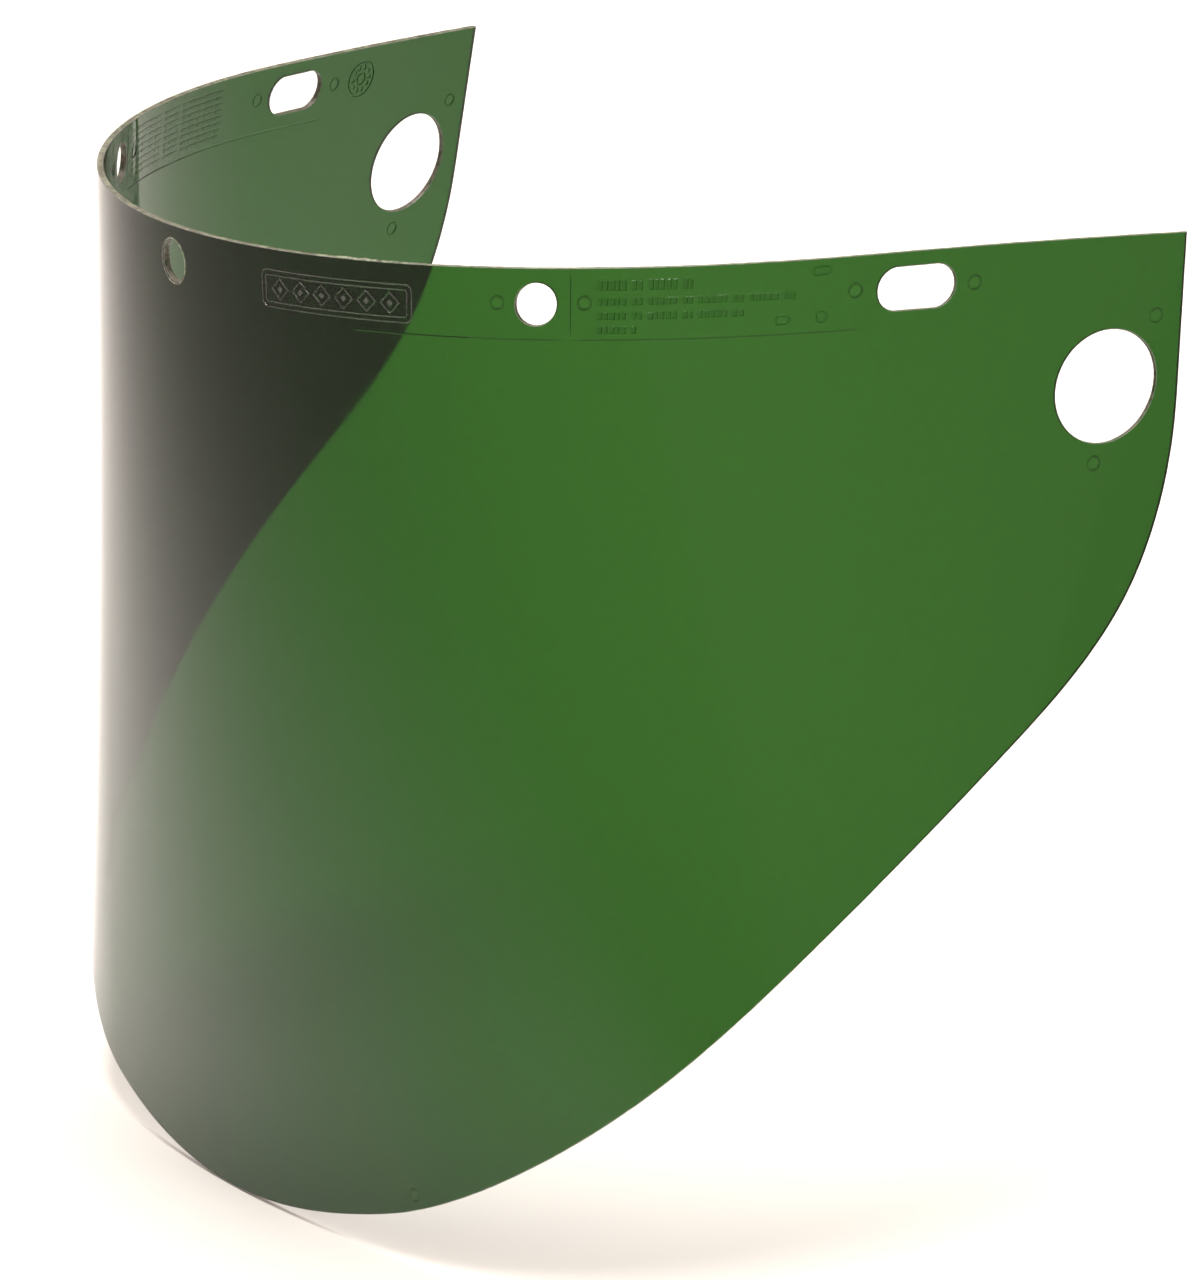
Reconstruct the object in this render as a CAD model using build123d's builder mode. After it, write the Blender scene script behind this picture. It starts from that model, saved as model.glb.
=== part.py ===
from build123d import *
import os
from math import cos, radians, sin

# A wide face shield window: one moulded sheet of tinted plastic, bent into a U.
# Origin: centre of the middle mounting hole, on the outer face.
# -Y is the front, +X the wearer's left, +Z up. Millimetres.

# --- the sheet ---
THICKNESS = 1.524
TOP_Z = 7.93  # the top edge at the front, above the middle mounting hole
HEIGHT = 219.1  # from the top edge to the lowest point of the bottom edge
HALF_REACH = 250.0  # untrimmed length of one wing along the sheet, from the front

# --- how the sheet bends, seen from above: (radius, length along the sheet) ---
# The last wing radius is None where the wing is straight.
FRONT_LENGTH = 60.7
CHEEK_LENGTH = 111.7
WING_LENGTH = HALF_REACH - FRONT_LENGTH - CHEEK_LENGTH
TOP_BEND = [(131.0, FRONT_LENGTH), (131.0, CHEEK_LENGTH), (None, WING_LENGTH)]
LOW_BEND = [(362.0, FRONT_LENGTH), (138.5, CHEEK_LENGTH), (84.1, WING_LENGTH)]
TOP_BEND_Z = TOP_Z
LOW_BEND_Z = TOP_Z - 220.0
TOP_FRONT_Y = 0.23  # the front of the top bend, behind the middle hole
LOW_FRONT_Y = -6.2  # the front of the low bend, ahead of the middle hole
STATIONS = 26  # points that carry each bend from the front to the wing's end

# --- the outline, seen from the side: (y, height below the top edge) ---
CROWN_RADIUS = 1764.0  # the top edge drops towards the back along this arc
REAR_TOP = (163.4, -7.7)
REAR_LOW = (156.6, -41.0)
LOWER_EDGE = [
    (139.4, -80.4),
    (107.6, -108.4),
    (65.0, -142.8),
    (31.3, -175.5),
    (6.3, -201.5),
]
CHIN = (-6.2, -HEIGHT)
CHIN_SLOPE = 1.9
TRIM_AHEAD = 12.0
TRIM_HALF_WIDTH = 200.0

# --- mounting holes: (length along the sheet from the front, height below the top) ---
HOLE_RADIUS = 4.5
SIDE_HOLE = (99.8, -8.0)
SLOT = (180.8, -10.7)
SLOT_LENGTH = 17.3
SLOT_WIDTH = 9.0
SLOT_TILT = 3.0
PIVOT_HOLE = (223.9, -36.9)
PIVOT_RADIUS = 11.6
CUT_DEPTH = 8.0


def bend_point(bend, along):
    """Where the sheet is, seen from above, at a length along it from the front."""
    x, y, turn = 0.0, 0.0, 0.0
    left = along
    for radius, length in bend:
        step = min(left, length)
        if radius is None:
            x += step * cos(turn)
            y += step * sin(turn)
        else:
            end = turn + step / radius
            x += radius * (sin(end) - sin(turn))
            y += radius * (cos(turn) - cos(end))
            turn = end
        left -= step
    return x, y


def sheet_point(along, height):
    """A point of the outer face, at a length along the sheet and a height."""
    blend = (TOP_BEND_Z - height) / (TOP_BEND_Z - LOW_BEND_Z)
    side = -1 if along < 0 else 1
    top_x, top_y = bend_point(TOP_BEND, abs(along))
    low_x, low_y = bend_point(LOW_BEND, abs(along))
    x = side * (top_x + blend * (low_x - top_x))
    y = top_y + TOP_FRONT_Y + blend * (low_y + LOW_FRONT_Y - top_y - TOP_FRONT_Y)
    return Vector(x, y, height)


def bend_points(height):
    """The whole bend at one height, from one wing's end to the other's."""
    step = HALF_REACH / STATIONS
    return [sheet_point(step * i, height) for i in range(-STATIONS, STATIONS + 1)]


def hole_plane(along, below_top):
    """A plane on the outer face at a hole, x along the sheet and z pointing outwards."""
    height = TOP_Z + below_top
    nudge = 0.5
    run = sheet_point(along + nudge, height) - sheet_point(along - nudge, height)
    rise = sheet_point(along, height + nudge) - sheet_point(along, height - nudge)
    return Plane(origin=sheet_point(along, height), x_dir=run, z_dir=run.cross(rise))


os.makedirs("parts", exist_ok=True)

# The outer face before trimming: straight rulings join the two bends.
with BuildLine() as upper_bend:
    Spline(*bend_points(TOP_Z + 4.0))
with BuildLine() as lower_bend:
    Spline(*bend_points(TOP_Z - HEIGHT - 6.0))
outer_face = Face.make_surface_from_curves(upper_bend.edge(), lower_bend.edge())

# The outline, cut straight across from the side.
with BuildPart() as trim:
    with BuildSketch(Plane.YZ.offset(-TRIM_HALF_WIDTH)):
        with BuildLine():
            front_top = (0, TOP_Z)
            rear_top = (REAR_TOP[0], TOP_Z + REAR_TOP[1])
            rear_low = (REAR_LOW[0], TOP_Z + REAR_LOW[1])
            lower_edge = [(y, TOP_Z + z) for y, z in LOWER_EDGE]
            chin = (CHIN[0], TOP_Z + CHIN[1])
            ahead_low = (chin[0] - TRIM_AHEAD, chin[1] - TRIM_AHEAD * CHIN_SLOPE)
            rear_run = (rear_low[0] - rear_top[0], rear_low[1] - rear_top[1])
            Line((ahead_low[0], TOP_Z), front_top)
            RadiusArc(front_top, rear_top, CROWN_RADIUS)
            Line(rear_top, rear_low)
            Spline(rear_low, *lower_edge, chin, tangents=(rear_run, (-1, -CHIN_SLOPE)))
            Line(chin, ahead_low)
            Line(ahead_low, (ahead_low[0], TOP_Z))
        make_face()
    extrude(amount=2 * TRIM_HALF_WIDTH)

# The sheet: the trimmed face thickened inwards, so that every edge is square to it.
trimmed_face = outer_face.intersect(trim.part).faces()[0]
outward = trimmed_face.normal_at(trimmed_face.position_at(0.5, 0.5))
inwards = -THICKNESS if outward.dot(trimmed_face.position_at(0.5, 0.5)) > 0 else THICKNESS

with BuildPart() as shield_window:
    thicken(trimmed_face, amount=inwards)
    # The middle hole and the two side holes take the headgear's studs.
    with BuildSketch(Plane.XZ):
        Circle(HOLE_RADIUS)
    extrude(amount=CUT_DEPTH, both=True, mode=Mode.SUBTRACT)
    for side in (-1, 1):
        with BuildSketch(hole_plane(side * SIDE_HOLE[0], SIDE_HOLE[1])):
            Circle(HOLE_RADIUS)
        extrude(amount=CUT_DEPTH, both=True, mode=Mode.SUBTRACT)
        # A slot on each wing, parallel to the top edge, lets the sheet slide on its stud.
        with BuildSketch(hole_plane(side * SLOT[0], SLOT[1])):
            SlotOverall(SLOT_LENGTH, SLOT_WIDTH, rotation=-side * SLOT_TILT)
        extrude(amount=CUT_DEPTH, both=True, mode=Mode.SUBTRACT)
        # A large hole clears the headgear's pivot knob.
        with BuildSketch(hole_plane(side * PIVOT_HOLE[0], PIVOT_HOLE[1])):
            Circle(PIVOT_RADIUS)
        extrude(amount=CUT_DEPTH, both=True, mode=Mode.SUBTRACT)

shield_window.part.label = "shield_window"
export_step(shield_window.part, "parts/shield_window.step")
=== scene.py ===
from math import atan2, ceil, cos, pi, radians, sin, sqrt

import bmesh
import bpy
import numpy as np
from mathutils import Matrix, Vector, noise
from mathutils.geometry import delaunay_2d_cdt
from mathutils.kdtree import KDTree


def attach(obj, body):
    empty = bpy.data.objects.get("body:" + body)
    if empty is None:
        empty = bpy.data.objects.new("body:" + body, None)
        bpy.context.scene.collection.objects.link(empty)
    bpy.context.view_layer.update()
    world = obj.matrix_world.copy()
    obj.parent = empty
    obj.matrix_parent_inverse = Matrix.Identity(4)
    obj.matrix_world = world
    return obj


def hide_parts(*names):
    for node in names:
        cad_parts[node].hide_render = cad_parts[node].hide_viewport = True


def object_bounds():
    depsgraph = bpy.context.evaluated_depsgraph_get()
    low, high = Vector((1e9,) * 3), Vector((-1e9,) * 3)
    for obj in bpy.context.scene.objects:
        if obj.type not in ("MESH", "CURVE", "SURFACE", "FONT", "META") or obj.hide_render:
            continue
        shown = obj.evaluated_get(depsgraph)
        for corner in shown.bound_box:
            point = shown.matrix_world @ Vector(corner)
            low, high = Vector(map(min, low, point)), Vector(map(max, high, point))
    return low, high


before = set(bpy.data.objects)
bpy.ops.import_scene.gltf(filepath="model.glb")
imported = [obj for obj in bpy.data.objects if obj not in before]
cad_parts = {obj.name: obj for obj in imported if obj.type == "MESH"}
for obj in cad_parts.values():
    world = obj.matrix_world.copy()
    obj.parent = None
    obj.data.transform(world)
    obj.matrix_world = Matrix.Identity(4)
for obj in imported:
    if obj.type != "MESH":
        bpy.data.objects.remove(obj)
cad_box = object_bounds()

# A wide face shield window: one moulded sheet of tinted see-through plastic, bent into a U.
# The sheet is laid out flat first, as (along, height): the length along it from the front,
# and the height above the middle mounting hole. Then it is bent. Metres, as in the frame.
MM = 0.001

# --- the sheet, as the CAD part has it ---
THICKNESS = 1.524 * MM
TOP_Z = 7.93 * MM
HEIGHT = 219.1 * MM
FRONT_LENGTH = 60.7 * MM
CHEEK_LENGTH = 111.7 * MM
HALF_REACH = 250.0 * MM
WING_LENGTH = HALF_REACH - FRONT_LENGTH - CHEEK_LENGTH
TOP_BEND = [(131.0 * MM, FRONT_LENGTH), (131.0 * MM, CHEEK_LENGTH), (None, WING_LENGTH)]
LOW_BEND = [(362.0 * MM, FRONT_LENGTH), (138.5 * MM, CHEEK_LENGTH), (84.1 * MM, WING_LENGTH)]
BEND_DROP = 220.0 * MM
TOP_FRONT_Y = 0.23 * MM
LOW_FRONT_Y = -6.2 * MM

# --- its outline, seen from the side: (y, height below the top edge) ---
CROWN_RADIUS = 1764.0 * MM
REAR_TOP = (163.4 * MM, -7.7 * MM)
REAR_LOW = (156.6 * MM, -41.0 * MM)
LOWER_EDGE = [
    (139.4 * MM, -80.4 * MM),
    (107.6 * MM, -108.4 * MM),
    (65.0 * MM, -142.8 * MM),
    (31.3 * MM, -175.5 * MM),
    (6.3 * MM, -201.5 * MM),
]
CHIN = (-6.2 * MM, -HEIGHT)
CHIN_SLOPE = 1.9
CHIN_SAG = 0.02 * MM  # how far the very tip of the chin rounds down across the front
CHIN_STEPS = 6
CURVE_STEPS = 120  # points on each span of the lower edge, before they are evened out
REAR_STEPS = 60
TOP_STEPS = 400
SEARCH_STEPS = 40  # halvings, to find the length along the sheet of a point seen from the side
EDGE_PASSES = 3  # the top edge's height depends on its own bend, so it is worked out again

# --- its holes: (length along the sheet, height below the top edge) ---
HOLE_RADIUS = 4.5 * MM
MIDDLE_HOLE = (0.0, -TOP_Z)
SIDE_HOLE = (99.8 * MM, -8.0 * MM)
SLOT = (180.8 * MM, -10.7 * MM)
SLOT_LENGTH = 17.3 * MM
SLOT_WIDTH = 9.0 * MM
SLOT_TILT = radians(3.0)  # rear end down, parallel to the top edge
PIVOT_HOLE = (223.9 * MM, -36.9 * MM)
PIVOT_RADIUS = 11.6 * MM

# --- how fine the mesh is, and how its rim is rounded ---
EDGE_STEP = 1.4 * MM
ROUND_STEP = 0.5 * MM  # round a relief shape
BOX_STEP = 1.5 * MM  # along a relief box's sides
CORNER_STEPS = 5
GRID_STEP = 3.0 * MM
GRID_CLEARANCE = 1.0 * MM
CUT_TOLERANCE = 1e-5  # millimetres, as the triangles are cut in
FLAT_TOLERANCE = 1e-6
RIM_ROUND = 0.2 * MM
RIM_ROUND_STEPS = 3
PARTING_RIDGE = 0.07 * MM
PARTING_DEPTHS = [0.52 * MM, 0.92 * MM]
PARTING_HALF_WIDTH = 0.1 * MM

# --- relief moulded on both faces: drops are below the top edge there ---
SLOPE = 0.1 * MM  # how wide the sloping wall of a raised or sunk shape is
PIN_RADIUS = 1.2 * MM
PIN_SINK = -0.09 * MM
PINS = [
    (91.0 * MM, 7.5 * MM),
    (110.0 * MM, 7.4 * MM),
    (167.6 * MM, 7.1 * MM),
    (194.0 * MM, 7.4 * MM),
    (235.4 * MM, 16.9 * MM),
    (222.0 * MM, 46.4 * MM),
]
CHIN_PIN = np.array([68.2 * MM, TOP_Z - 204.2 * MM])
PIN_LIP = 0.1 * MM
PIN_LIP_REACH = 0.42 * MM
PIN_LIP_WIDTH = 0.28 * MM
GROOVE_WIDTH = 0.4 * MM
GROOVE_DEPTH = 0.1 * MM
LONG_FADE = 2 * MM  # the length over which a groove's end runs out
UPRIGHT_FADE = 1 * MM
BLOCK_RISE = 0.14 * MM
FAR_BLOCK_RISE = 0.09 * MM
EMBLEM_RISE = 0.15 * MM
EMBLEM_ROUGHNESS_AND_PAINTED_SHEEN = 0.22  # how rough and pale its walls are, as a share of the rim's; the roughness is real, and the paleness is a painted highlight of the light that their slopes reflect
LIP_REACH = 0.22 * MM
LIP_WIDTH = 0.5 * MM
LIP_RISE = 0.12 * MM
LIP_SCATTER = 1.0
PANEL_DROP = 15.2 * MM
PANEL_TOP_GAP = 0.8 * MM  # between an upright groove and the top edge
PANEL_LOW_GAP = 0.5 * MM  # between an upright groove and the long ones
PANEL_EDGES = [107.2 * MM, 169.9 * MM, -105.0 * MM]
LONG_GROOVES = [(56.0 * MM, 106.0 * MM), (107.5 * MM, 169.6 * MM), (-105.3 * MM, -191.0 * MM)]
# Rows of blocks are (start, end, drop, height), and marks are (along, drop, width, height).
BLOCK_SPACE = 0.4 * MM
BLOCK_WIDTHS = [1.0 * MM, 0.8 * MM, 1.1 * MM, 0.6 * MM, 0.9 * MM]
BAR_SPACE = 0.7 * MM
BAR_WIDTHS = [3.1 * MM, 1.8 * MM, 4.2 * MM, 2.4 * MM]
WORD_CYCLE = 7  # blocks, in which a word ends after each of these
WORD_ENDS = (4, 6)
NEAR_ROWS = [
    (113.0 * MM, 133.3 * MM, 3.6 * MM, 2.2 * MM),
    (113.0 * MM, 155.8 * MM, 7.0 * MM, 1.5 * MM),
    (113.0 * MM, 145.1 * MM, 10.0 * MM, 1.5 * MM),
    (113.0 * MM, 122.3 * MM, 12.9 * MM, 1.5 * MM),
]
FAR_ROWS = [(-109.0 * MM, -156.0 * MM, (2.6 + 1.5 * i) * MM, 0.7 * MM) for i in range(8)]
NEAR_MARKS = [
    (160.0 * MM, 2.4 * MM, 4.2 * MM, 2.0 * MM),
    (151.7 * MM, 12.0 * MM, 3.2 * MM, 2.0 * MM),
    (160.0 * MM, 11.8 * MM, 2.6 * MM, 2.6 * MM),
]
MARK_LINE = 0.4 * MM
MARK_CORNER = 2.2  # a mark's height over its corner radius
DIAL = (-203.0 * MM, 7.4 * MM)
DIAL_SINK = -0.2 * MM
DIAL_RINGS = [(4.3 * MM, 0.45 * MM), (1.5 * MM, 0.4 * MM)]  # (radius, width of line)
DIAL_TICKS = 10
TICK_REACH = 2.7 * MM
TICK_SIZE = (1.1 * MM, 0.75 * MM)
EMBLEM = (52.0 * MM, 8.6 * MM, 40.0 * MM, 8.4 * MM)
EMBLEM_LINE = 0.34 * MM
EMBLEM_CORNERS = (1.6 * MM, 0.8 * MM)
EMBLEM_INSET = 2.2 * MM  # how much smaller the inner frame is
DIAMONDS = 6
DIAMOND_MARGIN = 3.4 * MM
DIAMOND_ROW_MARGIN = 5 * MM
BURR_ALONG = 60.0 * MM
BURR_REACH = 17.0 * MM
BURR_HEIGHT = 0.3  # millimetres, like the noise that it scales
RIM_RAGGED = 0.03  # millimetres
FINE_RAGGED = (1.3, 0.5)  # waves per millimetre, and where in the noise it is taken
BROAD_RAGGED = (0.25, 3.5)
TOP_SPECKLE = 0.4  # how pale the top edge's specks are, as a share of the burr's

# --- the plastic ---
SHEET_IOR = 1.45
DYE_COLOR = (0.25, 0.56, 0.1)
DYE_DENSITY = 3500.0  # per metre
RIM_PALE = (0.26, 0.21, 0.165)
RIM_GREEN = (0.06, 0.1, 0.045)
BURR_PALE = (0.74, 0.83, 0.6)
RIM_WHITENING = 0.5
RIM_SPECKS = 900.0  # scales of noise, per metre
BURR_SPECKS = 700.0
FACE_HAZE = 26.0
FACE_RIPPLE = 60.0
FACE_ROUGHNESS = (0.025, 0.06)
RIM_ROUGHNESS = (0.3, 0.5)
SPECK_BUMP = 0.08
RIPPLE_BUMP = 0.02
BUMP_STRENGTH = 0.5

# --- the studio ---
CAMERA_PLACE = (1.43693, -0.76333, 0.40901)
CAMERA_AIM = (0.10154, 0.03847, -0.07133)
CAMERA_ROLL = radians(-4.22)
CAMERA_LENS = 219.04
FLOOR_RADIUS = 30.0
FLOOR_GAP = 0.3 * MM
FLOOR_SPECKS = 40.0
FLOOR_COLORS = [(0.86, 0.86, 0.855), (0.88, 0.88, 0.878)]
SURROUND_COLOR = (1.0, 0.87, 0.78)
SURROUND_STRENGTH = 0.7
OVERHEAD_PLACE = (-0.39, 0.32, 1.2)
OVERHEAD_SIZE = (2.3, 0.6)
OVERHEAD_TURN = radians(149.0)
OVERHEAD_SPREAD = radians(72.0)
OVERHEAD_WATTS = 9.0
OVERHEAD_COLOR = (1.0, 0.95, 0.88)
LEFT_PLACE = (-2.2, 0.2, 0.65)
LEFT_SIZE = (2.2, 1.6)
LEFT_WATTS = 4.0
LEFT_COLOR = (1.0, 0.88, 0.8)


def bend_xy(runs, along):
    """Where a bend runs, seen from above, at lengths along it from the front."""
    x = np.zeros_like(along)
    y = np.zeros_like(along)
    start = 0.0
    turn = 0.0
    for radius, length in runs:
        step = np.clip(along - start, 0.0, length)
        if radius is None:
            x += step * cos(turn)
            y += step * sin(turn)
        else:
            angle = turn + step / radius
            x += radius * (np.sin(angle) - sin(turn))
            y += radius * (cos(turn) - np.cos(angle))
            turn += length / radius
        start += length
    return x, y


def bent(flat):
    """Points of the outer face, from points of the flat layout."""
    along, height = flat[:, 0], flat[:, 1]
    share = (TOP_Z - height) / BEND_DROP
    top_x, top_y = bend_xy(TOP_BEND, np.abs(along))
    low_x, low_y = bend_xy(LOW_BEND, np.abs(along))
    x = np.sign(along) * (top_x + share * (low_x - top_x))
    y = top_y + TOP_FRONT_Y + share * (low_y + LOW_FRONT_Y - top_y - TOP_FRONT_Y)
    return np.stack([x, y, height], axis=1)


def outward(flat):
    """The outer face's normals at points of the flat layout."""
    nudge = 0.3 * MM
    run = bent(flat + (nudge, 0)) - bent(flat - (nudge, 0))
    rise = bent(flat + (0, nudge)) - bent(flat - (0, nudge))
    normals = np.cross(run, rise)
    return normals / np.linalg.norm(normals, axis=1)[:, None]


def sideways(flat, directions):
    """Directions of the flat layout, turned into directions along the bent sheet."""
    nudge = 0.1 * MM
    ways = bent(flat + directions * nudge) - bent(flat - directions * nudge)
    return ways / np.linalg.norm(ways, axis=1)[:, None]


def smooth_curve(points, first_way, last_way, steps):
    """A smooth curve through points, with given end directions, as a dense row of points."""
    points = np.array(points, float)
    gaps = np.linalg.norm(np.diff(points, axis=0), axis=1)
    slopes = np.diff(points, axis=0) / gaps[:, None]
    count = len(points)
    matrix = np.zeros((count, count))
    right = np.zeros((count, 2))
    matrix[0, 0] = matrix[-1, -1] = 1.0
    right[0] = np.array(first_way) / np.linalg.norm(first_way)
    right[-1] = np.array(last_way) / np.linalg.norm(last_way)
    for i in range(1, count - 1):
        before, after = gaps[i - 1], gaps[i]
        matrix[i, i - 1 : i + 2] = after, 2 * (before + after), before
        right[i] = 3 * (after * slopes[i - 1] + before * slopes[i])
    ways = np.linalg.solve(matrix, right)
    rows = []
    for i in range(count - 1):
        t = np.linspace(0, 1, steps, endpoint=False)[:, None]
        a, b = points[i], points[i + 1]
        m, n = ways[i] * gaps[i], ways[i + 1] * gaps[i]
        rows.append(
            (2 * t**3 - 3 * t**2 + 1) * a
            + (t**3 - 2 * t**2 + t) * m
            + (3 * t**2 - 2 * t**3) * b
            + (t**3 - t**2) * n
        )
    return np.vstack(rows + [points[-1:]])


def crown_height(y):
    """The height of the top edge at a distance behind the front."""
    chord = Vector(REAR_TOP)
    sag = sqrt(CROWN_RADIUS**2 - (chord.length / 2) ** 2)
    centre = chord / 2 + Vector((chord.y, -chord.x)).normalized() * sag
    return TOP_Z + centre.y + np.sqrt(CROWN_RADIUS**2 - (y - centre.x) ** 2)


def top_edge_height(along):
    """The height of the top edge at lengths along the sheet."""
    along = np.asarray(along, float)
    height = np.full_like(along, TOP_Z)
    for _ in range(EDGE_PASSES):
        height = crown_height(bent(np.stack([along, height], axis=1))[:, 1])
    return height


def unroll(profile):
    """Points of the flat layout whose side view is the profile's (y, height) points."""
    low = np.zeros(len(profile))
    high = np.full(len(profile), HALF_REACH)
    for _ in range(SEARCH_STEPS):
        middle = (low + high) / 2
        y = bent(np.stack([middle, profile[:, 1]], axis=1))[:, 1]
        low = np.where(y < profile[:, 0], middle, low)
        high = np.where(y < profile[:, 0], high, middle)
    return np.stack([(low + high) / 2, profile[:, 1]], axis=1)


def even_steps(points, step):
    """The same run of points, evenly spaced at about one step."""
    gaps = np.linalg.norm(np.diff(points, axis=0), axis=1)
    reach = np.concatenate([[0.0], np.cumsum(gaps)])
    places = np.linspace(0, reach[-1], max(2, ceil(reach[-1] / step) + 1))
    return np.stack([np.interp(places, reach, points[:, i]) for i in (0, 1)], axis=1)


def outline():
    """The sheet's outline in the flat layout, anticlockwise from the chin."""
    rear_top = np.array(REAR_TOP) + (0, TOP_Z)
    rear_low = np.array(REAR_LOW) + (0, TOP_Z)
    lower = [np.array(point) + (0, TOP_Z) for point in LOWER_EDGE]
    chin = np.array(CHIN) + (0, TOP_Z)
    ends = rear_low - rear_top, (-1, -CHIN_SLOPE)
    curve = smooth_curve([rear_low, *lower, chin], *ends, CURVE_STEPS)
    front_y = bent(np.array([[0.0, chin[1]]]))[0, 1]
    bottom = unroll(curve[curve[:, 0] > front_y])
    last, low = bottom[-1]
    share = np.linspace(1, 0, CHIN_STEPS + 1)[1:]
    tip = np.stack([last * share, low - CHIN_SAG * (1 - share**2)], axis=1)
    bottom = np.vstack([bottom, tip])
    rear = unroll(np.linspace(rear_top, rear_low, REAR_STEPS))
    corner = rear[0, 0]
    along = np.linspace(0, corner, TOP_STEPS)
    top = np.stack([along, top_edge_height(along)], axis=1)
    right = [even_steps(run, EDGE_STEP) for run in (bottom[::-1], rear[::-1], top[::-1])]
    right = np.vstack([run[:-1] for run in right] + [top[:1]])
    left = right[1:-1][::-1] * (-1, 1)
    return np.vstack([right, left])


def circle(centre, radius, step=EDGE_STEP):
    """A circle of the flat layout, anticlockwise."""
    count = max(16, 2 * ceil(pi * radius / step))
    angles = np.arange(count) * 2 * pi / count
    return np.array(centre) + radius * np.stack([np.cos(angles), np.sin(angles)], axis=1)


def long_slot(centre, length, width, tilt=0.0):
    """A slot with round ends, anticlockwise."""
    reach = (length - width) / 2
    ring = circle((0, 0), width / 2)
    ring = ring + np.stack([np.where(ring[:, 0] > 1e-9, reach, -reach), 0 * ring[:, 0]], axis=1)
    turn = np.array([[cos(tilt), sin(tilt)], [-sin(tilt), cos(tilt)]])
    return even_loop(ring @ turn + np.array(centre), EDGE_STEP)


def even_loop(loop, step):
    """A closed loop with its long sides divided into steps."""
    rows = []
    for a, b in zip(loop, np.roll(loop, -1, axis=0)):
        count = max(1, round(np.linalg.norm(b - a) / step))
        rows.append(a + (b - a) * (np.arange(count) / count)[:, None])
    return np.vstack(rows)


def below_top(place):
    """A place given as (along, height below the top edge at the front), in the layout."""
    return np.array([place[0], TOP_Z + place[1]])


def hole_loops():
    """Every hole of the sheet, anticlockwise."""
    loops = [circle(below_top(MIDDLE_HOLE), HOLE_RADIUS, EDGE_STEP / 2)]
    for side in (1, -1):
        mirror = np.array([side, 1])
        loops.append(circle(below_top(SIDE_HOLE) * mirror, HOLE_RADIUS, EDGE_STEP / 2))
        tilt = -side * SLOT_TILT
        loops.append(long_slot(below_top(SLOT) * mirror, SLOT_LENGTH, SLOT_WIDTH, tilt))
        loops.append(circle(below_top(PIVOT_HOLE) * mirror, PIVOT_RADIUS))
    return loops


def loop_sides(loop):
    """At each point of an anticlockwise loop, the way that points out of it."""
    ahead = np.roll(loop, -1, axis=0) - loop
    ahead /= np.linalg.norm(ahead, axis=1)[:, None]
    behind = np.roll(ahead, 1, axis=0)
    way = ahead + behind
    way /= np.linalg.norm(way, axis=1)[:, None]
    side = np.stack([way[:, 1], -way[:, 0]], axis=1)
    widen = np.maximum(0.5, (ahead * way).sum(axis=1))
    return side / widen[:, None]


def inside(loop, points):
    """Which points lie inside a closed loop."""
    x, y = points[:, 0][:, None], points[:, 1][:, None]
    x1, y1 = loop[:, 0], loop[:, 1]
    x2, y2 = np.roll(x1, -1), np.roll(y1, -1)
    spans = (y1 > y) != (y2 > y)
    with np.errstate(divide="ignore", invalid="ignore"):
        cross = (x2 - x1) * (y - y1) / (y2 - y1) + x1
    return (spans & (x < cross)).sum(axis=1) % 2 == 1


# ---------------------------------------------------------------- relief shapes
# A shape is (contour, distance): contour(grow) gives its outline grown by a length, and
# distance(points) gives how far points are outside it, negative inside. A relief is
# (loops, lines, height): the closed and open lines that its mesh needs, and how far
# it raises points.


def round_shape(centre, radius):
    """A disc."""
    centre = np.array(centre)

    def contour(grow):
        return circle(centre, radius + grow, ROUND_STEP)

    def distance(points):
        return np.linalg.norm(points - centre, axis=1) - radius

    return contour, distance


def box_shape(centre, width, height, corner=0.0, tilt=0.0):
    """A box with its corners rounded, or square ones for a corner of 0."""
    centre = np.array(centre)
    turn = np.array([[cos(tilt), sin(tilt)], [-sin(tilt), cos(tilt)]])
    half = np.array([width, height]) / 2

    def contour(grow):
        radius = max(corner + grow, 0.0)
        reach = half + grow - radius
        signs = ((1, 1), (-1, 1), (-1, -1), (1, -1))
        rows = []
        steps = CORNER_STEPS if radius > 0 else 1
        for quarter, (sx, sy) in enumerate(signs):
            for i in range(steps):
                angle = (quarter + (i / (steps - 1) if steps > 1 else 0)) * pi / 2
                x = sx * reach[0] + radius * cos(angle)
                y = sy * reach[1] + radius * sin(angle)
                rows.append((x, y))
        return even_loop(np.array(rows) @ turn + centre, BOX_STEP)

    def distance(points):
        offset = np.abs((points - centre) @ turn.T) - half + corner
        past = np.linalg.norm(np.maximum(offset, 0), axis=1)
        return past + np.minimum(offset.max(axis=1), 0) - corner

    return contour, distance


def pad(shape, rise):
    """A raised shape, or a sunk one where rise is negative: its loops and its height."""
    contour, distance = shape
    loops = [contour(0.0), contour(-SLOPE)]
    return loops, [], lambda points: rise * np.clip(-distance(points) / SLOPE, 0, 1)


def band(shape, width, rise):
    """A raised line just inside a shape's outline."""
    contour, distance = shape
    loops = [contour(grow) for grow in (0.0, -SLOPE, SLOPE - width, -width)]

    def height(points):
        gap = distance(points)
        return rise * np.clip(np.minimum(-gap, gap + width) / SLOPE, 0, 1)

    return loops, [], height


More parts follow.
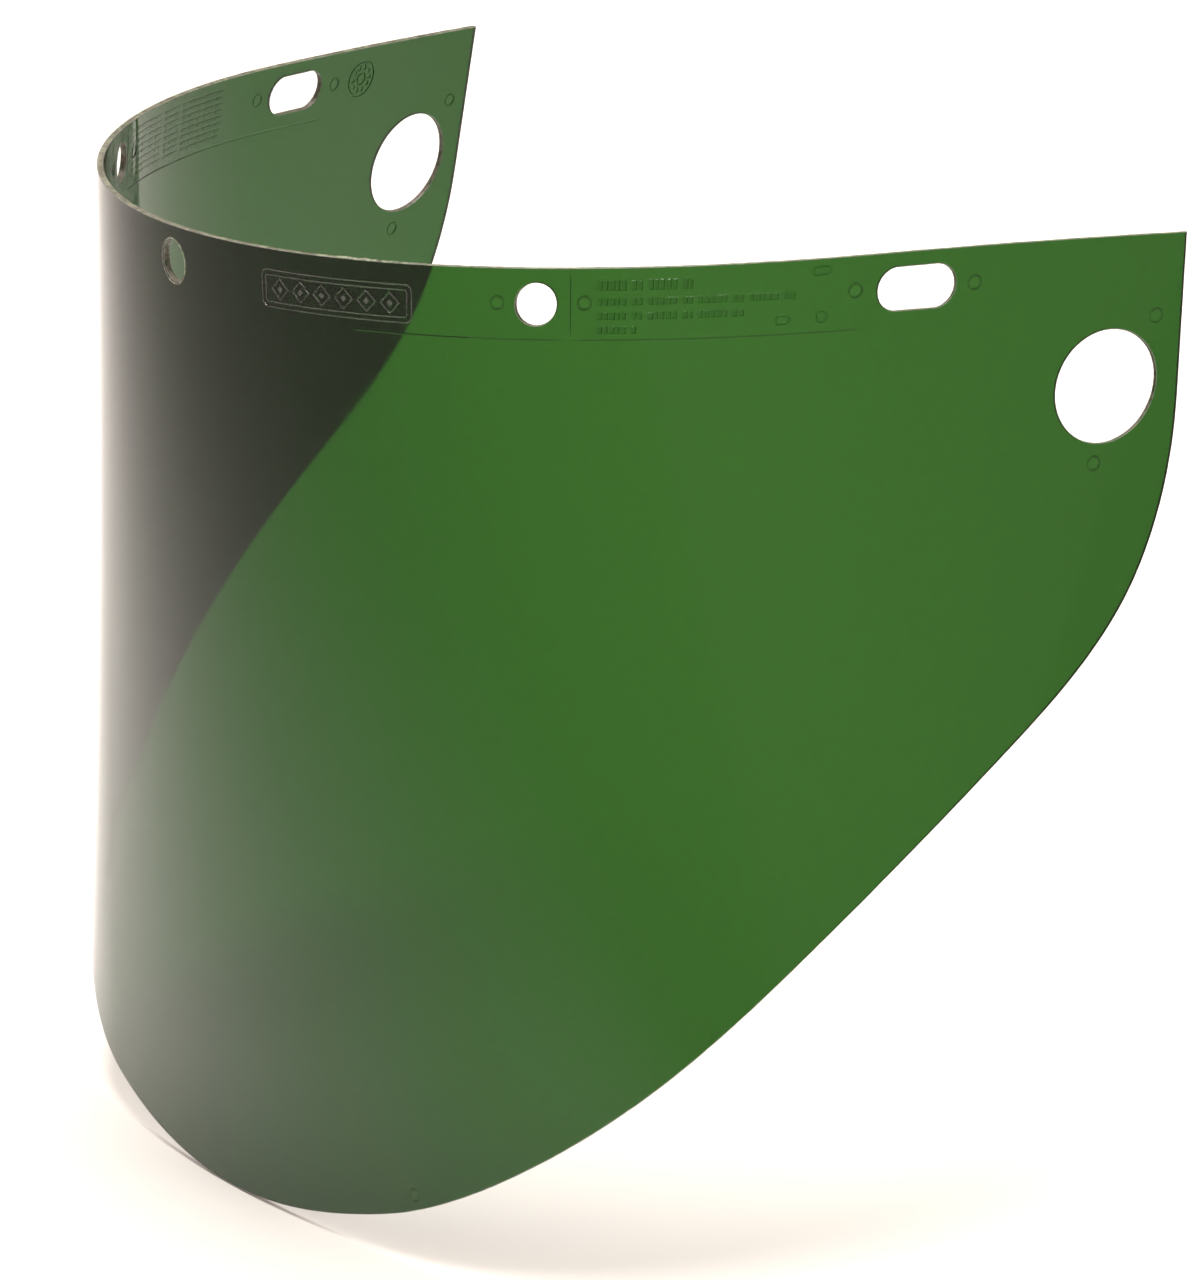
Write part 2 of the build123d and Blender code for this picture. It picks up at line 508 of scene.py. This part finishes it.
def groove_along(start, end, drop):
    """A fine groove that runs along the sheet, a fixed drop below the top edge."""
    along = np.linspace(start, end, max(2, ceil(abs(end - start) / (2 * MM))))
    middle = np.stack([along, top_edge_height(along) - drop], axis=1)
    lines = [middle + (0, shift) for shift in (-GROOVE_WIDTH / 2, 0, GROOVE_WIDTH / 2)]
    low, high = min(start, end), max(start, end)

    def height(points):
        gap = np.abs(points[:, 1] - np.interp(points[:, 0], *sorted_columns(middle)))
        within = (points[:, 0] >= low - 1e-9) & (points[:, 0] <= high + 1e-9)
        ends = np.minimum(points[:, 0] - low, high - points[:, 0])
        ends = np.clip(ends / LONG_FADE, 0, 1)
        return -GROOVE_DEPTH * within * ends * np.clip(1 - gap / (GROOVE_WIDTH / 2), 0, 1)

    return [], lines, height


def sorted_columns(points):
    """The first and second columns of points, in the order of the first."""
    order = np.argsort(points[:, 0])
    return points[order, 0], points[order, 1]


def groove_upright(along, top_drop, bottom_drop):
    """A fine groove that runs down the sheet."""
    edge = float(top_edge_height(np.array([along]))[0])
    heights = np.linspace(edge - bottom_drop, edge - top_drop, 10)
    middle = np.stack([np.full_like(heights, along), heights], axis=1)
    lines = [middle + (shift, 0) for shift in (-GROOVE_WIDTH / 2, 0, GROOVE_WIDTH / 2)]

    def height(points):
        gap = np.abs(points[:, 0] - along)
        ends = np.minimum(points[:, 1] - heights[0], heights[-1] - points[:, 1])
        ends = np.clip(ends / UPRIGHT_FADE, 0, 1)
        return -GROOVE_DEPTH * ends * np.clip(1 - gap / (GROOVE_WIDTH / 2), 0, 1)

    return [], lines, height


def at_drop(along, drop):
    """The place a drop below the top edge, at a length along the sheet."""
    return np.array([along, float(top_edge_height(np.array([along]))[0]) - drop])


def block_row(start, end, drop, tall, widths, space, rise):
    """A row of plain raised blocks, in words, that follows the top edge."""
    way = 1 if end > start else -1
    shapes = []
    reach = 0.0
    i = 0
    while reach + widths[i % len(widths)] < abs(end - start):
        wide = widths[i % len(widths)]
        centre = at_drop(start + way * (reach + wide / 2), drop)
        slope = (at_drop(centre[0] + MM, drop) - at_drop(centre[0] - MM, drop))[1] / (2 * MM)
        shapes.append(pad(box_shape(centre, wide, tall, tilt=slope), rise))
        reach += wide + space
        if i % WORD_CYCLE in WORD_ENDS:
            reach += 2 * space
        i += 1
    return shapes


def date_dial(centre):
    """A round dial of plain ticks, as a mould's date insert leaves."""
    rings = [(round_shape(centre, radius), line) for radius, line in DIAL_RINGS]
    shapes = [band(ring, line, DIAL_SINK) for ring, line in rings]
    for i in range(DIAL_TICKS):
        angle = i * pi / (DIAL_TICKS / 2)
        place = np.array(centre) + TICK_REACH * np.array([cos(angle), sin(angle)])
        shapes.append(pad(box_shape(place, *TICK_SIZE, tilt=-angle), DIAL_SINK))
    return shapes


def emblem(along, drop, length, tall):
    """A plain nameplate: a double frame round a row of outlined diamonds."""
    centre = at_drop(along, drop)
    before, after = at_drop(along - length / 2, drop), at_drop(along + length / 2, drop)
    tilt = atan2(after[1] - before[1], length)
    shapes = []
    for inset, corner in zip((0.0, EMBLEM_INSET), EMBLEM_CORNERS):
        frame_box = box_shape(centre, length - inset, tall - inset, corner, tilt)
        shapes.append(band(frame_box, EMBLEM_LINE, EMBLEM_RISE))
    side = (tall - DIAMOND_MARGIN) / sqrt(2)
    for i in range(DIAMONDS):
        shift = (i - (DIAMONDS - 1) / 2) * (length - DIAMOND_ROW_MARGIN) / DIAMONDS
        place = centre + np.array([cos(tilt), sin(tilt)]) * shift
        diamond = box_shape(place, side, side, tilt=tilt + pi / 4)
        shapes.append(band(diamond, EMBLEM_LINE, EMBLEM_RISE))
        small = box_shape(place, side / 3, side / 3, tilt=tilt + pi / 4)
        shapes.append(pad(small, EMBLEM_RISE))
    return shapes


def ejector_mark(place):
    """A sunk disc with a low raised ring round it."""
    ring = round_shape(place, PIN_RADIUS + PIN_LIP_REACH)
    return [pad(round_shape(place, PIN_RADIUS), PIN_SINK), band(ring, PIN_LIP_WIDTH, PIN_LIP)]


def inner_relief():
    """Every raised or sunk shape of the inner face."""
    shapes = []
    for side in (1, -1):
        for along, drop in PINS:
            shapes += ejector_mark(at_drop(along, drop) * (side, 1))
        shapes += ejector_mark(CHIN_PIN * (side, 1))
    for start, end in LONG_GROOVES:
        shapes.append(groove_along(start, end, PANEL_DROP))
    for along in PANEL_EDGES:
        shapes.append(groove_upright(along, PANEL_TOP_GAP, PANEL_DROP - PANEL_LOW_GAP))
    shapes += date_dial(at_drop(*DIAL))
    for start, end, drop, tall in FAR_ROWS:
        shapes += block_row(start, end, drop, tall, BAR_WIDTHS, BAR_SPACE, FAR_BLOCK_RISE)
    return shapes


def outer_relief():
    """Every raised or sunk shape of the outer face."""
    shapes = []
    for start, end, drop, tall in NEAR_ROWS:
        shapes += block_row(start, end, drop, tall, BLOCK_WIDTHS, BLOCK_SPACE, BLOCK_RISE)
    for along, drop, width, height in NEAR_MARKS:
        shape = box_shape(at_drop(along, drop), width, height, height / MARK_CORNER)
        shapes.append(band(shape, MARK_LINE, BLOCK_RISE))
    shapes += emblem(*EMBLEM)
    lip = round_shape(below_top(MIDDLE_HOLE), HOLE_RADIUS + LIP_REACH + LIP_WIDTH)
    shapes.append(band(lip, LIP_WIDTH, LIP_RISE))
    return shapes


# ---------------------------------------------------------------- the sheet's mesh


def on_sheet(loops, points):
    """Which points lie inside the outline, the first loop, and outside every hole."""
    keep = inside(loops[0], points)
    for hole in loops[1:]:
        keep &= ~inside(hole, points)
    return keep


def skin(loops, shapes):
    """The flat layout cut into triangles: its points, its triangles and each loop's indices."""
    points = []
    edges = []
    loop_spans = []

    def add(run, closed):
        first = len(points)
        points.extend(map(tuple, run / MM))
        last = len(points)
        edges.extend((i, i + 1) for i in range(first, last - 1))
        if closed:
            edges.append((last - 1, first))
        return range(first, last)

    for loop in loops:
        loop_spans.append(add(loop, True))
    for shape_loops, lines, _ in shapes:
        for loop in shape_loops:
            add(loop, True)
        for line in lines:
            add(line, False)
    near = KDTree(len(points))
    for i, (x, y) in enumerate(points):
        near.insert((x, y, 0), i)
    near.balance()
    reach = HALF_REACH / MM
    step = GRID_STEP / MM
    rows = np.arange(-HEIGHT / MM, TOP_Z / MM + 3 * step, step * sqrt(3) / 2)
    grid = []
    for i, y in enumerate(rows):
        for x in np.arange(-reach + (i % 2) * step / 2, reach, step):
            if near.find((x, y, 0))[2] > GRID_CLEARANCE / MM:
                grid.append((x, y))
    grid = np.array(grid)
    points.extend(map(tuple, grid[on_sheet([loop / MM for loop in loops], grid)]))
    vectors = [Vector(point) for point in points]
    made = delaunay_2d_cdt(vectors, edges, [], 0, CUT_TOLERANCE)
    flat = np.array([tuple(point) for point in made[0]]) * MM
    triangles = np.array(made[2])
    triangles = triangles[on_sheet(loops, flat[triangles].mean(axis=1))]
    place = {}
    for i, sources in enumerate(made[3]):
        for source in sources:
            place[source] = i
    return flat, triangles, [[place[i] for i in span] for span in loop_spans]


def rim_profile():
    """The section of the rim: rows of (depth below the outer face, distance past the skin)."""
    turn = np.linspace(0, pi / 2, RIM_ROUND_STEPS + 1)
    corner = np.stack([RIM_ROUND * (1 - np.cos(turn)), RIM_ROUND * np.sin(turn)], axis=1)
    rows = [tuple(row) for row in corner]
    for depth in PARTING_DEPTHS:
        rows.append((depth - PARTING_HALF_WIDTH, RIM_ROUND))
        rows.append((depth, RIM_ROUND + PARTING_RIDGE))
        rows.append((depth + PARTING_HALF_WIDTH, RIM_ROUND))
    rows += [(THICKNESS - depth, past) for depth, past in rows[RIM_ROUND_STEPS::-1]]
    return np.array(rows)


def raggedness(flat):
    """How far the rim's middle stands out, most at the burr, and how pale it is there."""
    burr = np.clip(1 - np.abs(flat[:, 0] - BURR_ALONG) / BURR_REACH, 0, 1) * (flat[:, 1] > 0)
    rows = []
    for (x, y), share in zip(flat / MM, burr):
        fine, broad = (
            noise.noise(Vector((x * scale, y * scale, layer)))
            for scale, layer in (FINE_RAGGED, BROAD_RAGGED)
        )
        ragged = RIM_RAGGED * fine + RIM_RAGGED * broad
        rows.append(ragged + BURR_HEIGHT * sqrt(share) * abs(fine))
    return np.array(rows) * MM, np.maximum(np.sqrt(burr), TOP_SPECKLE * (flat[:, 1] > 0))


def build_sheet():
    """The sheet as one closed mesh, with its normals and its rim and burr attributes."""
    edge = outline()
    holes = [hole[::-1] for hole in hole_loops()]
    walls = [edge, *holes]
    sides = [loop_sides(loop) for loop in walls]
    skins = [loop - side * RIM_ROUND for loop, side in zip(walls, sides)]
    reliefs = [outer_relief(), inner_relief()]
    flat, triangles, spans = skin(skins, reliefs[0] + reliefs[1])
    rises = []
    for shapes in reliefs:
        rises.append(sum(height(flat) for _, _, height in shapes))
    normals = outward(flat)
    outer = bent(flat) + normals * rises[0][:, None]
    inner = bent(flat) - normals * (THICKNESS + rises[1])[:, None]
    count = len(flat)
    points = [outer, inner]
    point_normals = [normals, -normals]
    raised = np.clip(rises[0] / LIP_RISE, 0, 1)
    on_emblem = np.abs(flat[:, 0] - EMBLEM[0]) < EMBLEM[2] / 2
    on_lip = np.linalg.norm(flat - below_top(MIDDLE_HOLE), axis=1) < 2 * HOLE_RADIUS
    # On the emblem's walls this share is part real roughness and part painted highlight: their
    # pale colour stands in for the light that their slopes reflect.
    rim = [raised * (EMBLEM_ROUGHNESS_AND_PAINTED_SHEEN * on_emblem + LIP_SCATTER * on_lip), np.zeros(count)]
    burr = [raised * on_lip, np.zeros(count)]
    total = 2 * count
    quads = []
    profile = rim_profile()
    runs = np.diff(profile, axis=0)
    runs /= np.linalg.norm(runs, axis=1)[:, None]
    ways = runs[:-1] + runs[1:]
    ways /= np.linalg.norm(ways, axis=1)[:, None]
    for loop, side, span in zip(skins, sides, spans):
        span = np.array(span)
        ragged, burred = raggedness(loop)
        rings = [span]
        face_out = outward(loop)
        edge_out = sideways(loop, side)
        for (depth, past), way in zip(profile[1:-1], ways):
            share = past / RIM_ROUND
            layout = loop + side * (past + ragged * share)[:, None]
            points.append(bent(layout) - face_out * depth)
            point_normals.append(face_out * way[1] + edge_out * way[0])
            rim.append(np.full(len(loop), min(1.0, share)))
            burr.append(burred * min(1.0, share))
            rings.append(np.arange(total, total + len(loop)))
            total += len(loop)
        rings.append(span + count)
        for above, below in zip(rings, rings[1:]):
            ahead, under = np.roll(above, -1), np.roll(below, -1)
            quads.append(np.stack([above, below, under, ahead], axis=1))
    points = np.vstack(points)
    point_normals = np.vstack(point_normals)
    quads = np.vstack(quads)
    inner_triangles = triangles[:, ::-1] + count
    mesh = bpy.data.meshes.new("shield_window")
    faces = triangles.tolist() + inner_triangles.tolist() + quads.tolist()
    mesh.from_pydata(points.tolist(), [], faces)
    corner_normals = [point_normals[group] for group in (triangles, inner_triangles, quads)]
    for face, (group, rise) in enumerate(zip((triangles, inner_triangles), rises)):
        sloped = np.ptp(rise[triangles], axis=1) > FLAT_TOLERANCE
        corners = points[group[sloped]]
        tilted = np.cross(corners[:, 1] - corners[:, 0], corners[:, 2] - corners[:, 0])
        tilted /= np.linalg.norm(tilted, axis=1)[:, None] + 1e-12
        corner_normals[face][sloped] = tilted[:, None, :]
    corner_normals = np.vstack([group.reshape(-1, 3) for group in corner_normals])
    mesh.polygons.foreach_set("use_smooth", [True] * len(faces))
    for name, rows in (("rim", rim), ("burr", burr)):
        values = np.concatenate(rows)
        mesh.attributes.new(name, "FLOAT", "POINT").data.foreach_set("value", values)
    mesh.update()
    mesh.normals_split_custom_set(corner_normals.tolist())
    piece = bpy.data.objects.new("shield_window_sheet", mesh)
    bpy.context.scene.collection.objects.link(piece)
    return piece


# ---------------------------------------------------------------- materials


def node_tree(name):
    """A new material, with its nodes, its links and its shader."""
    material = bpy.data.materials.new(name)
    material.use_nodes = True
    nodes, links = material.node_tree.nodes, material.node_tree.links
    return material, nodes, links, nodes["Principled BSDF"]


def noise_node(nodes, links, vector, scale, detail=3.0):
    """Noise of a scale, from about 0 to 1."""
    node = nodes.new("ShaderNodeTexNoise")
    node.inputs["Scale"].default_value = scale
    node.inputs["Detail"].default_value = detail
    links.new(vector, node.inputs["Vector"])
    return node.outputs["Fac"]


def remap(nodes, links, value, low, high, new_low, new_high):
    """A value moved from one range to another, and kept within it."""
    node = nodes.new("ShaderNodeMapRange")
    node.inputs["From Min"].default_value = low
    node.inputs["From Max"].default_value = high
    node.inputs["To Min"].default_value = new_low
    node.inputs["To Max"].default_value = new_high
    links.new(value, node.inputs["Value"])
    return node.outputs["Result"]


def math_node(nodes, links, operation, a, b):
    """Two values, each a number or a socket, put together."""
    node = nodes.new("ShaderNodeMath")
    node.operation = operation
    for i, value in enumerate((a, b)):
        if isinstance(value, (int, float)):
            node.inputs[i].default_value = value
        else:
            links.new(value, node.inputs[i])
    return node.outputs[0]


def attribute_node(nodes, name):
    """A value that the mesh holds at each point."""
    node = nodes.new("ShaderNodeAttribute")
    node.attribute_name = name
    return node.outputs["Fac"]


def mix_colors(nodes, links, share, first, second):
    """A mix of two colours, each a fixed one or a socket: the second where share is 1."""
    node = nodes.new("ShaderNodeMix")
    node.data_type = "RGBA"
    links.new(share, node.inputs[0])
    for place, color in ((6, first), (7, second)):
        if isinstance(color, tuple):
            node.inputs[place].default_value = (*color, 1)
        else:
            links.new(color, node.inputs[place])
    return node.outputs[2]


def tinted_plastic():
    """Clear plastic, dyed green all through, glossy on its faces and rough along its rim."""
    material, nodes, links, shader = node_tree("tinted_sheet")
    place = nodes.new("ShaderNodeTexCoord").outputs["Object"]
    rim = attribute_node(nodes, "rim")
    burr = attribute_node(nodes, "burr")
    specks = noise_node(nodes, links, place, RIM_SPECKS, 4.0)
    haze = noise_node(nodes, links, place, FACE_HAZE, 2.0)
    patches = noise_node(nodes, links, place, BURR_SPECKS)
    ripple = noise_node(nodes, links, place, FACE_RIPPLE, 1.0)
    shader.inputs["IOR"].default_value = SHEET_IOR

    rough = nodes.new("ShaderNodeMix")
    links.new(rim, rough.inputs[0])
    links.new(remap(nodes, links, haze, 0.35, 0.7, *FACE_ROUGHNESS), rough.inputs[2])
    links.new(remap(nodes, links, specks, 0.3, 0.7, *RIM_ROUGHNESS), rough.inputs[3])
    links.new(rough.outputs[0], shader.inputs["Roughness"])
    through = remap(nodes, links, rim, 0.0, 1.0, 1.0, 1.0 - RIM_WHITENING)
    links.new(through, shader.inputs["Transmission Weight"])

    pale = remap(nodes, links, specks, 0.38, 0.6, 0.0, 1.0)
    color = mix_colors(nodes, links, pale, RIM_GREEN, RIM_PALE)
    pale = remap(nodes, links, patches, 0.45, 0.6, 0.0, 1.0)
    pale = math_node(nodes, links, "MULTIPLY", pale, burr)
    color = mix_colors(nodes, links, pale, color, BURR_PALE)
    # Pale rim colour where the rim share is set: the cut rim's own frosted colour, and on the
    # emblem's walls a painted highlight.
    color = mix_colors(nodes, links, rim, (1, 1, 1), color)
    links.new(color, shader.inputs["Base Color"])

    grain = math_node(nodes, links, "MULTIPLY", specks, rim)
    grain = math_node(nodes, links, "MULTIPLY", grain, SPECK_BUMP)
    ripple = math_node(nodes, links, "MULTIPLY", ripple, RIPPLE_BUMP)
    bump = nodes.new("ShaderNodeBump")
    bump.inputs["Strength"].default_value = BUMP_STRENGTH
    bump.inputs["Distance"].default_value = MM
    links.new(math_node(nodes, links, "ADD", grain, ripple), bump.inputs["Height"])
    links.new(bump.outputs["Normal"], shader.inputs["Normal"])

    dye = nodes.new("ShaderNodeVolumeAbsorption")
    dye.inputs["Color"].default_value = (*DYE_COLOR, 1)
    dye.inputs["Density"].default_value = DYE_DENSITY
    links.new(dye.outputs["Volume"], nodes["Material Output"].inputs["Volume"])
    return material


def pale_floor():
    """A matt, pale studio floor."""
    material, nodes, links, shader = node_tree("studio_floor")
    place = nodes.new("ShaderNodeTexCoord").outputs["Object"]
    specks = noise_node(nodes, links, place, FLOOR_SPECKS)
    color = mix_colors(nodes, links, specks, *FLOOR_COLORS)
    links.new(color, shader.inputs["Base Color"])
    shader.inputs["Roughness"].default_value = 1.0
    shader.inputs["Specular IOR Level"].default_value = 0.0
    return material


# ---------------------------------------------------------------- the studio


def make_floor():
    """A wide floor just under the chin."""
    bm = bmesh.new()
    bmesh.ops.create_circle(bm, cap_ends=True, segments=96, radius=FLOOR_RADIUS)
    mesh = bpy.data.meshes.new("studio_floor")
    bm.to_mesh(mesh)
    bm.free()
    floor = bpy.data.objects.new("studio_floor", mesh)
    floor.location.z = cad_box[0][2] - FLOOR_GAP
    bpy.context.scene.collection.objects.link(floor)
    mesh.materials.append(pale_floor())


def make_world():
    """An even, slightly warm surround, which the sheet mirrors at its grazing edge."""
    world = bpy.data.worlds.new("studio_surround")
    bpy.context.scene.world = world
    world.use_nodes = True
    background = world.node_tree.nodes["Background"]
    background.inputs["Color"].default_value = (*SURROUND_COLOR, 1)
    background.inputs["Strength"].default_value = SURROUND_STRENGTH


def make_light(name, place, size, watts, color):
    """A rectangular soft box that faces down, and that the camera doesn't see."""
    lamp = bpy.data.lights.new(name, "AREA")
    lamp.shape = "RECTANGLE"
    lamp.size, lamp.size_y = size
    lamp.energy = watts
    lamp.color = color
    light = bpy.data.objects.new(name, lamp)
    light.location = place
    light.visible_camera = False
    bpy.context.scene.collection.objects.link(light)
    return light


def make_lights():
    """A long soft box overhead, along the view, and a low warm one on the left."""
    light = make_light(
        "overhead_light", OVERHEAD_PLACE, OVERHEAD_SIZE, OVERHEAD_WATTS, OVERHEAD_COLOR
    )
    light.data.spread = OVERHEAD_SPREAD
    light.rotation_euler.z = OVERHEAD_TURN
    light = make_light("left_light", LEFT_PLACE, LEFT_SIZE, LEFT_WATTS, LEFT_COLOR)
    light.rotation_euler = (-light.location).to_track_quat("-Z", "Y").to_euler()


def make_camera():
    """The photograph's viewing angle: a long lens, from high on the near side."""
    data = bpy.data.cameras.new("camera")
    data.sensor_width = 36.0
    data.lens = CAMERA_LENS
    data.clip_end = 50.0
    camera = bpy.data.objects.new("camera", data)
    turn = (Vector(CAMERA_AIM) - Vector(CAMERA_PLACE)).to_track_quat("-Z", "Y").to_matrix()
    turn = turn @ Matrix.Rotation(CAMERA_ROLL, 3, "Z")
    camera.matrix_world = Matrix.Translation(CAMERA_PLACE) @ turn.to_4x4()
    bpy.context.scene.collection.objects.link(camera)
    bpy.context.scene.camera = camera


sheet = build_sheet()
sheet.data.materials.append(tinted_plastic())
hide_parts("shield_window")
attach(sheet, "root")
make_floor()
make_world()
make_lights()
make_camera()
bpy.context.scene.view_settings.view_transform = "Standard"
